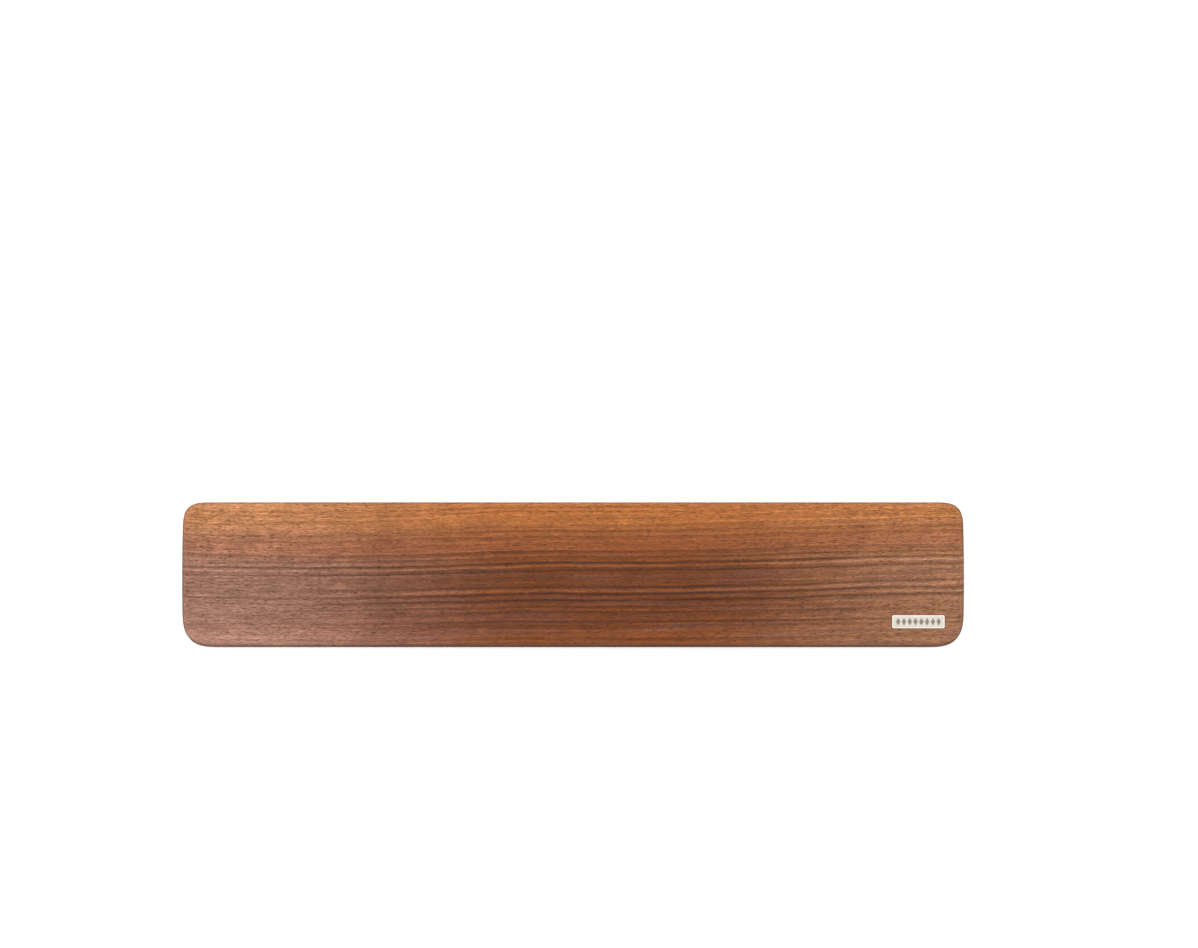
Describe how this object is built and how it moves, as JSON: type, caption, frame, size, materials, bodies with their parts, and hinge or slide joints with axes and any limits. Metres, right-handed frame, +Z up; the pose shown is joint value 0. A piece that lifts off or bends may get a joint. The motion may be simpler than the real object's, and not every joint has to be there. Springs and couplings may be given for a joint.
{
  "type": "wrist rest",
  "caption": "Long solid-wood wrist rest for a full-size keyboard, with a gently sloped and crowned top, rounded edges, an inlaid metal badge and rubber feet.",
  "frame": {"origin": "on the desk plane, under the middle of the rest's length and depth", "axes": "+X along the rest to the user's right, +Y from the user towards the keyboard, +Z up"},
  "size_m": [0.446, 0.082, 0.0195],
  "materials": {
    "walnut": "oiled walnut under a clear satin coat",
    "nickel": "satin bright nickel",
    "adhesive": "matt foam tape",
    "foot_rubber": "matt moulded rubber"
  },
  "bodies": {
    "root": {"walnut_body": "walnut", "badge_plate": "nickel", "badge_tape": "adhesive", "rubber_foot_1": "foot_rubber", "rubber_foot_2": "foot_rubber", "rubber_foot_3": "foot_rubber", "rubber_foot_4": "foot_rubber", "rubber_foot_5": "foot_rubber", "rubber_foot_6": "foot_rubber", "foot_tape_1": "adhesive", "foot_tape_2": "adhesive", "foot_tape_3": "adhesive", "foot_tape_4": "adhesive", "foot_tape_5": "adhesive", "foot_tape_6": "adhesive"}
  },
  "joints": []
}
